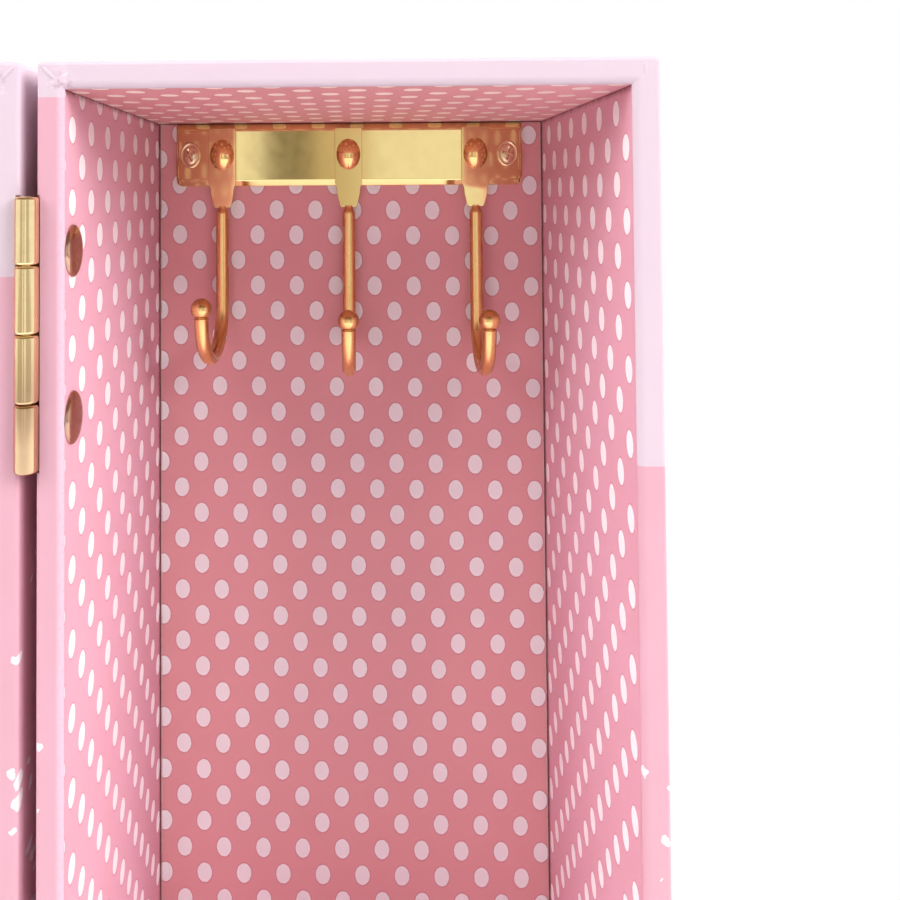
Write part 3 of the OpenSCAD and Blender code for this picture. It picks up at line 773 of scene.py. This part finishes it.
HOOKS = ("left_hook", "middle_hook", "right_hook")
HEAD_OVAL = 1.3                                  # height of oval heads over their width
TURN_OUT = {"left_hook": math.radians(2.5), "right_hook": math.radians(1.5)}
ROD_R, BALL_R = 2.2, 3.3
BALL_RISE = 2.7                                  # the ball's middle over the end of the bend
ROD_PROUD = 1.9                                  # how far the rod stands out of the head
HEAD_T, TONGUE_T, TONGUE_LEN = 0.7, 1.9, 7.6
HOOK_RIVET_T = 2.4
BEND_STEPS, BALL_STEPS = 40, 24
HEAD_FACE = RAIL_FACE - HEAD_T
TONGUE_Z = RAIL[0].z - TONGUE_LEN


def hook_piece(node):
    """Flat head and tongue, and a rod drawn along its stem, J bend, ring and ball."""
    low, high = span(node)
    x, half = (low.x + high.x) / 2, (high.x - low.x) / 2
    rod_y = HEAD_FACE + ROD_R - ROD_PROUD
    turn = TURN_OUT.get(node, 0.0)
    tip_y = rod_y - (rod_y - low.y - BALL_R) / math.cos(turn)
    bend_r = (rod_y - tip_y) / 2
    bend_z = low.z + bend_r + ROD_R
    edge = RAIL[0].z
    # right side of the head's outline, upwards: (half width, height, corner radius)
    side = [(2.7, TONGUE_Z, 0.7), (3.2, TONGUE_Z + 1.3, 1.0), (4.0, TONGUE_Z + 4.6, 5.0),
            (4.15, edge - 0.9, 1.0), (half, edge + 0.9, 1.0), (half, high.z, 0.5)]
    plate = rounded(side + [(-u, v, r) for u, v, r in reversed(side)], 4)
    put = lambda u, v, w: (x + u, RAIL_FACE - w, v)
    head = Shape().slab(plate, 0.0, HEAD_T, put, 0.2, 3)
    under = rounded([(u * 0.98, v, r) for u, v, r in side[:4]]
                    + [(-u * 0.98, v, r) for u, v, r in reversed(side[:4])], 4)
    head.slab(under, HEAD_T - TONGUE_T, HEAD_T - 0.25, put, 0.25, 3)
    dress(head.build(f"{node}_head", 40), HEAD_BRASS, "right_case", "brass", node)

    down, up = -math.pi / 2, -math.pi * 1.5
    # the rod swells out of the tongue: (over the tongue's end, part of the full radius)
    throat = ((0.55, 0.55), (0.1, 0.57), (-0.5, 0.66), (-1.1, 0.82), (-1.7, 0.94), (-2.4, 1.0),
              (-12.0, 1.0))
    path = [(rod_y, TONGUE_Z + z, down, ROD_R * r) for z, r in throat]
    path.append((rod_y, bend_z + 12.0, down, ROD_R))
    neck = BALL_RISE - BALL_R - 0.1                # the ring's middle, over the end of the bend
    sweep = math.pi + neck / bend_r
    for k in range(BEND_STEPS + 1):
        a = sweep * k / BEND_STEPS
        path.append((rod_y - bend_r + bend_r * math.cos(a), bend_z - bend_r * math.sin(a),
                     down - a, ROD_R))
    ring = ((-0.15, 0.04), (0.05, 0.16), (0.23, 0.2), (0.39, 0.1), (0.47, -0.1), (0.5, -0.4))
    path += [(tip_y, bend_z + neck + dz, up, ROD_R + r) for dz, r in ring]
    start = -math.acos((ROD_R - 0.4) / BALL_R)
    for k in range(BALL_STEPS + 1):
        a = start + (math.pi / 2 - 0.02 - start) * k / BALL_STEPS
        path.append((tip_y, bend_z + BALL_RISE + BALL_R * math.sin(a), up, BALL_R * math.cos(a)))
    rod = Shape().rod(x, path, 36)
    # the whole rod is turned about its own upright middle
    rod.verts = [(x + (y - rod_y) * math.sin(turn) + (px - x) * math.cos(turn),
                  rod_y + (y - rod_y) * math.cos(turn) - (px - x) * math.sin(turn), z)
                 for px, y, z in rod.verts]
    dress(rod.build(f"{node}_rod", 40), HOOK_BRASS, "right_case", "brass", node)


def dome(radius, height, foot=0.15, steps=14):
    """Profile of a domed head, (radius, height), from its seat to its top."""
    ball = (radius * radius + height * height) / (2 * height)
    out = [(radius - 0.12, 0.0), (radius, foot * 0.6)]
    widest = math.asin(min(1.0, radius / ball))
    for k in range(steps + 1):
        a = widest * (1 - k / steps)
        r, z = ball * math.sin(a), ball * math.cos(a) - (ball - height)
        if z > foot:
            out.append((max(0.03, r), z))
    return out


def rivets_piece():
    """The three domed rivets, one on each hook's head."""
    low, high = span("hook_rivets")
    radius = (high.z - low.z) / 2 / HEAD_OVAL
    z = (high.z + low.z) / 2
    shape = Shape()
    for node in HOOKS:
        a, b = span(node)
        x = (a.x + b.x) / 2
        put = lambda u, v, w: (x + u, HEAD_FACE - w, z + v * HEAD_OVAL)
        shape.turned(dome(radius, HOOK_RIVET_T), put, 56)
    return dress(shape.build("domed_hook_rivets", 50), STUD_BRASS, "right_case", "brass",
                 "hook_rivets")


SCREW_TURNS = (0.45, 1.35)                       # how far each cross is turned, in radians


def screws_piece():
    """The two end screws: a raised rim, a groove, and a low dome with a cross in it."""
    low, high = span("rail_screws")
    radius = (high.z - low.z) / 2 / HEAD_OVAL
    z = (high.z + low.z) / 2
    shape, cross = Shape(), Shape()
    profile = [(radius - 0.15, 0.0), (radius, 0.12), (radius, 0.3), (radius - 0.12, 0.52),
               (radius - 0.34, 0.64), (radius - 0.6, 0.62), (radius - 0.8, 0.46),
               (radius - 0.92, 0.34), (radius - 1.06, 0.36), (radius - 1.2, 0.56),
               (radius - 1.45, 0.74), (radius - 1.9, 0.86), (radius - 2.6, 0.95),
               (radius - 3.3, 0.99), (0.05, 1.0)]
    for x, turn in zip((low.x + radius, high.x - radius), SCREW_TURNS):
        put = lambda u, v, w: (x + u, RAIL_FACE - w, z + v * HEAD_OVAL)
        shape.turned(profile, put, 56)
        rings = []
        # the cross's floor and its mouth: (height, reach of an arm, half its width)
        for w, reach, half in ((0.2, 1.3, 0.2), (1.4, 2.5, 0.62)):
            corners = []
            for k in range(4):
                c, n = math.cos(turn + k * math.pi / 2), math.sin(turn + k * math.pi / 2)
                corners += [put(c * p - n * q, n * p + c * q, w)
                            for p, q in ((reach, -half), (reach, half), (half, half))]
            rings.append(corners)
        cross.loft(rings)
    obj = shape.build("rail_screw_heads", 30)
    cut(obj, cross, 30)
    return dress(obj, SCREW_BRASS, "right_case", "brass", "rail_screws")


rail_piece()
for node in HOOKS:
    hook_piece(node)
rivets_piece()
screws_piece()


# ---------------------------------------------------------------- hinges
KNUCKLES = 4
BARREL_R, BORE_R = 2.9, 1.26
KNUCKLE_R, KNUCKLE_GAP = 0.75, 0.1               # rounding of a knuckle's ends, and half the gap
LEAF_T = 1.0
RIVET_PITCH = 40.8
RIVET_DROP = 1.0                                 # the rivets' middle, under the barrel's
CAP_FOOT, CAP_T = 0.1, 1.75                      # the caps inside


def hinge_wall(half):
    """x of the outer wall with the hinges."""
    low, high = WRAP[half]
    return low.x if HALVES[half][1] > 0 else high.x


def leaf_piece(level, half):
    """Knuckles turned with rounded ends, and the flat leaf behind them."""
    low, high = HINGE_PINS[level]
    axis = (low + high) / 2
    step = (high.z - low.z) / KNUCKLES
    body, sign = HALVES[half]
    back = span(f"{level}_hinge_{half}_leaf")[1].y
    wall_x = hinge_wall(half)
    shape = Shape()
    own = range(0 if half == "right" else 1, KNUCKLES, 2)
    end = [(BORE_R, 0.02), (BARREL_R - KNUCKLE_R, 0.0)]
    end += [(BARREL_R - KNUCKLE_R * (1 - math.sin(a)), KNUCKLE_R * (1 - math.cos(a)))
            for a in quarter(6)[1:]]
    for k in own:
        z0, z1 = low.z + k * step + KNUCKLE_GAP, low.z + (k + 1) * step - KNUCKLE_GAP
        turn = [(r, z0 + h) for r, h in end] + [(r, z1 - h) for r, h in reversed(end)]
        shape.turned(turn, lambda u, v, w: (axis.x + u, axis.y + v, w), 56)
    # comb outline of the leaf, (y, z), with tabs that reach the knuckles
    clear = axis.y + BARREL_R + 0.35
    corners = [(back, low.z, 1.2), (back, high.z, 1.2)]
    for k in reversed(range(KNUCKLES)):
        reach = axis.y + 0.4 if k in own else clear
        z1, z0 = low.z + (k + 1) * step - 0.15, low.z + k * step + 0.15
        if k == KNUCKLES - 1:
            z1 = high.z
        if k == 0:
            z0 = low.z
        corners += [(reach, z1, 0.0), (reach, z0, 0.0)]
    comb = rounded(corners, 4)
    shape.slab(comb, 0.0, LEAF_T, lambda u, v, w: (wall_x - sign * w, u, v), 0.15, 2)
    return dress(shape.build(f"{level}_{half}_hinge_leaf", 34), HINGE_BRASS, body, "brass",
                 f"{level}_hinge_{half}_leaf")


def hinge_rivets_piece(half):
    """The rivets of one half's leaves: oval caps inside the case, and low heads on the leaves."""
    low, high = span(f"{half}_hinge_rivets")
    body, sign = HALVES[half]
    wall_x = hinge_wall(half)
    radius = (high.y - low.y) / 2
    y = (high.y + low.y) / 2
    # a full, flat-topped button
    cap = [(radius - 0.35, 0.0), (radius - 0.12, CAP_FOOT)]
    cap += [((radius - 0.1) * math.cos(a) ** 0.75,
             CAP_FOOT + (CAP_T - CAP_FOOT) * math.sin(a) ** 0.85) for a in quarter(16)[:-1]]
    cap.append((0.03, CAP_T))
    shape = Shape()
    for bottom, top in HINGE_PINS.values():
        mid = (bottom.z + top.z) / 2 - RIVET_DROP
        for z in (mid - RIVET_PITCH / 2, mid + RIVET_PITCH / 2):
            inside = lambda u, v, w: (wall_x + sign * (WALL + w), y + u, z + v * HEAD_OVAL)
            shape.turned(cap, inside, 64)
            outside = lambda u, v, w: (wall_x - sign * (LEAF_T + w), y + u, z + v)
            shape.turned(dome(2.6, 0.6, foot=0.1, steps=6), outside, 40)
    return dress(shape.build(f"{half}_hinge_rivet_caps", 50), CAP_BRASS, body, "brass",
                 f"{half}_hinge_rivets")


for half in HALVES:
    for level in LEVELS:
        leaf_piece(level, half)
    hinge_rivets_piece(half)


# ---------------------------------------------------------------- clasp
CLASP_BEVEL = 0.18

for node, body in (("clasp_base", "left_case"), ("clasp_hasp", "hasp"),
                   ("catch_plate", "right_case"), ("clasp_base_nails", "left_case"),
                   ("catch_nails", "right_case")):
    dress(softened(node, f"{node}_piece", CLASP_BEVEL), CLASP_BRASS, body, "brass", node)


# ---------------------------------------------------------------- studio
FLOOR_R, FLOOR_SIDES, FLOOR_Z = 0.9, 96, -0.0002  # a disc just under the part, in metres


def plain_floor():
    """A pale sheet that turns white to the camera away from the part, and keeps its shade."""
    mesh = bpy.data.meshes.new("studio_floor")
    ring = [(u, v, FLOOR_Z) for u, v in circle(FLOOR_R, FLOOR_SIDES)]
    mesh.from_pydata(ring, [], [tuple(range(FLOOR_SIDES))])
    obj = bpy.data.objects.new("studio_floor", mesh)
    bpy.context.scene.collection.objects.link(obj)
    s = Shader("floor_paper")
    place, x, y, _ = s.place()
    # how far a point of the floor lies outside the part's footprint
    over_x = s.sum("MAXIMUM", s.sum("SUBTRACT", s.sum("ABSOLUTE", x), CAD_BOX[1].x / MM), 0.0)
    over_y = s.sum("MAXIMUM", s.sum("SUBTRACT", s.sum("ABSOLUTE", y), CAD_BOX[1].y / MM), 0.0)
    fade = s.ramp(s.length(over_x, over_y), 2.0, 70.0)
    rays = s.node("ShaderNodeLightPath")
    factor = s.times(fade, rays.outputs["Is Camera Ray"])
    grain = s.noise(place, 0.8, 3.0)
    tone = s.mix(grain, (0.86, 0.86, 0.865, 1), (0.88, 0.88, 0.885, 1))
    diffuse = s.node("ShaderNodeBsdfDiffuse", Color=tone)
    white = s.node("ShaderNodeEmission", Color=(1, 1, 1, 1), Strength=1.0)
    mix = s.tree.nodes.new("ShaderNodeMixShader")
    s.put(mix.inputs[0], factor)
    s.put(mix.inputs[1], diffuse.outputs[0])
    s.put(mix.inputs[2], white.outputs[0])
    out = s.tree.nodes.new("ShaderNodeOutputMaterial")
    s.put(out.inputs[0], mix.outputs[0])
    mesh.materials.append(s.material)


def studio_world():
    """White to the camera. Gloss sees a white studio in front, dim overhead and at the stand."""
    world = bpy.data.worlds.new("studio")
    bpy.context.scene.world = world
    world.use_nodes = True
    s = Shader("studio", world.node_tree)
    ray = s.node("ShaderNodeTexCoord").outputs["Generated"]
    x, y, up = s.node("ShaderNodeSeparateXYZ", Vector=ray).outputs[:3]
    turn = s.sum("ARCTAN2", x, s.times(y, -1.0))     # 0 in front, in radians
    aside = s.sum("ABSOLUTE", turn)
    level = s.ramp(s.sum("ABSOLUTE", up), 0.22, 0.42, 1.0, 0.0)
    # two narrow dark forms in front, which show in the rail
    stand = s.ramp(s.sum("ABSOLUTE", s.sum("ADD", turn, 0.083)), 0.025, 0.040, 0.92, 0.0)
    post = s.ramp(s.sum("ABSOLUTE", s.sum("ADD", turn, 0.018)), 0.018, 0.050, 0.60, 0.0)
    # the room is dim on both sides of the camera, and behind the softboxes
    reach = s.ramp(up, -0.05, -0.15, 0.62, 1.05)
    wing = s.times(s.ramp(aside, 0.25, 0.32),
                   s.ramp(s.sum("SUBTRACT", aside, reach), 0.0, 0.12, 1.0, 0.0))
    rear = s.ramp(aside, 1.5, 2.2)
    tone = s.mix(s.ramp(up, 0.14, 0.40), (1, 1, 1, 1), (0.32, 0.20, 0.15, 1))
    tone = s.mix(s.times(wing, 0.9, level), tone, (0.54, 0.47, 0.42, 1))
    tone = s.mix(s.times(rear, 0.8, level), tone, (0.60, 0.42, 0.42, 1))
    tone = s.mix(s.times(stand, level), tone, (0.20, 0.17, 0.11, 1))
    tone = s.mix(s.times(post, level), tone, (0.46, 0.28, 0.05, 1))
    tone = s.mix(s.ramp(up, -0.17, -0.30, 0.0, 0.6), tone, (0.36, 0.26, 0.18, 1))
    rays = s.node("ShaderNodeLightPath")
    tone = s.mix(rays.outputs["Is Glossy Ray"], (1, 1, 1, 1), tone)
    sharp = s.sum("MAXIMUM", rays.outputs["Is Glossy Ray"], rays.outputs["Is Transmission Ray"])
    seen = s.sum("MAXIMUM", rays.outputs["Is Camera Ray"], sharp)
    back = s.node("ShaderNodeBackground", Color=tone, Strength=seen)
    out = s.tree.nodes.new("ShaderNodeOutputWorld")
    s.put(out.inputs[0], back.outputs[0])


AIM = Vector((0.07, -0.02, 0.2))                 # in metres, as all lamps and the camera
LAMP_REACH = 1.5


def softbox(name, azimuth, elevation, size, power):
    """A rectangular lamp on a sphere round AIM. Azimuth 0 is in front, and 90 on the right."""
    light = bpy.data.lights.new(name, "AREA")
    light.shape, light.size, light.size_y, light.energy = "RECTANGLE", size[0], size[1], power
    obj = bpy.data.objects.new(name, light)
    bpy.context.scene.collection.objects.link(obj)
    turn, rise = math.radians(azimuth), math.radians(elevation)
    way = Vector((math.sin(turn) * math.cos(rise), -math.cos(turn) * math.cos(rise),
                  math.sin(rise)))
    obj.location = AIM + way * LAMP_REACH
    obj.rotation_euler = way.to_track_quat("Z", "Y").to_euler()
    obj.visible_glossy = False                     # gloss sees the studio instead


plain_floor()
studio_world()
softbox("right_side", 64, 30, (0.9, 0.9), 26)
softbox("left_side", -64, 30, (0.9, 0.9), 19.5)
softbox("overhead", 0, 68, (1.2, 0.8), 10)
softbox("rear_right", 150, 25, (0.8, 0.8), 14)
softbox("rear_left", -150, 25, (0.8, 0.8), 14)

# the view worked out from the photograph's straight edges and rows of dots
camera = bpy.data.cameras.new("camera")
camera.lens, camera.sensor_width = 31.352, 36
camera.shift_x, camera.shift_y = 0.12, -0.30
camera.clip_start, camera.clip_end = 0.01, 20
view = bpy.data.objects.new("camera", camera)
bpy.context.scene.collection.objects.link(view)
view.location = (0.07868, -0.23415, 0.28819)
view.rotation_euler = [math.radians(a) for a in (91.1919, 0.3414, 1.0196)]
bpy.context.scene.camera = view

bpy.context.scene.view_settings.view_transform = "Standard"
